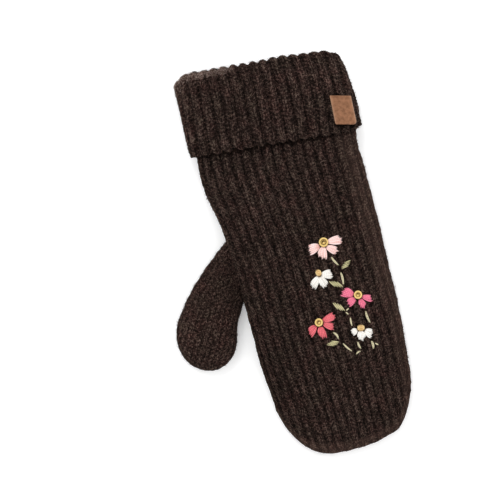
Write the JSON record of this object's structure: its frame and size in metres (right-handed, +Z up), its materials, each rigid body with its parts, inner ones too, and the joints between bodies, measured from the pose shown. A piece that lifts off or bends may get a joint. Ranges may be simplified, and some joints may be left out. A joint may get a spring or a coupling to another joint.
{
  "type": "embroidered mitten",
  "caption": "Left-hand ribbed knit mitten with a turned-back cuff, plain-knit thumb, leather tag and flower embroidery, lying back side up to warm a hand",
  "frame": {"origin": "Middle of the bounding box in plan, at the lowest point, on the surface that the mitten lies on.", "axes": "+Y runs from the fingertips to the cuff, +Z is up out of the back of the hand, +X points away from the thumb."},
  "size_m": [0.1518, 0.2596, 0.0275],
  "materials": {
    "rib_knit": "dark brown brushed yarn, ribbed knit",
    "plain_knit": "dark brown brushed yarn, plain knit",
    "leather": "tan leather, bare",
    "pale_pink_thread": "pale pink embroidery thread",
    "white_thread": "white embroidery thread",
    "rose_thread": "rose embroidery thread",
    "coral_thread": "coral embroidery thread",
    "gold_thread": "gold embroidery thread",
    "orange_thread": "golden orange embroidery thread",
    "leaf_thread": "olive beige embroidery thread",
    "stem_thread": "light beige embroidery thread"
  },
  "bodies": {
    "root": {"hand": "rib_knit", "thumb": "plain_knit", "tag": "leather", "pale_pink_petal_1": "pale_pink_thread", "pale_pink_petal_2": "pale_pink_thread", "pale_pink_petal_3": "pale_pink_thread", "pale_pink_petal_4": "pale_pink_thread", "pale_pink_eye": "gold_thread", "white_upper_petal_1": "white_thread", "white_upper_petal_2": "white_thread", "white_upper_petal_3": "white_thread", "white_upper_eye": "orange_thread", "rose_petal_1": "rose_thread", "rose_petal_2": "rose_thread", "rose_petal_3": "rose_thread", "rose_petal_4": "rose_thread", "rose_eye": "gold_thread", "coral_petal_1": "coral_thread", "coral_petal_2": "coral_thread", "coral_petal_3": "coral_thread", "coral_petal_4": "coral_thread", "coral_eye": "gold_thread", "white_lower_petal_1": "white_thread", "white_lower_petal_2": "white_thread", "white_lower_petal_3": "white_thread", "white_lower_eye": "orange_thread", "leaf_1": "leaf_thread", "leaf_2": "leaf_thread", "leaf_3": "leaf_thread", "leaf_4": "leaf_thread", "stem_1": "stem_thread", "stem_2": "stem_thread", "stem_3": "stem_thread", "stem_4": "stem_thread", "stem_5": "stem_thread", "stem_6": "stem_thread", "stem_7": "stem_thread", "stem_8": "stem_thread", "stem_9": "stem_thread", "stem_10": "stem_thread", "stem_11": "stem_thread", "stem_12": "stem_thread"}
  },
  "joints": []
}
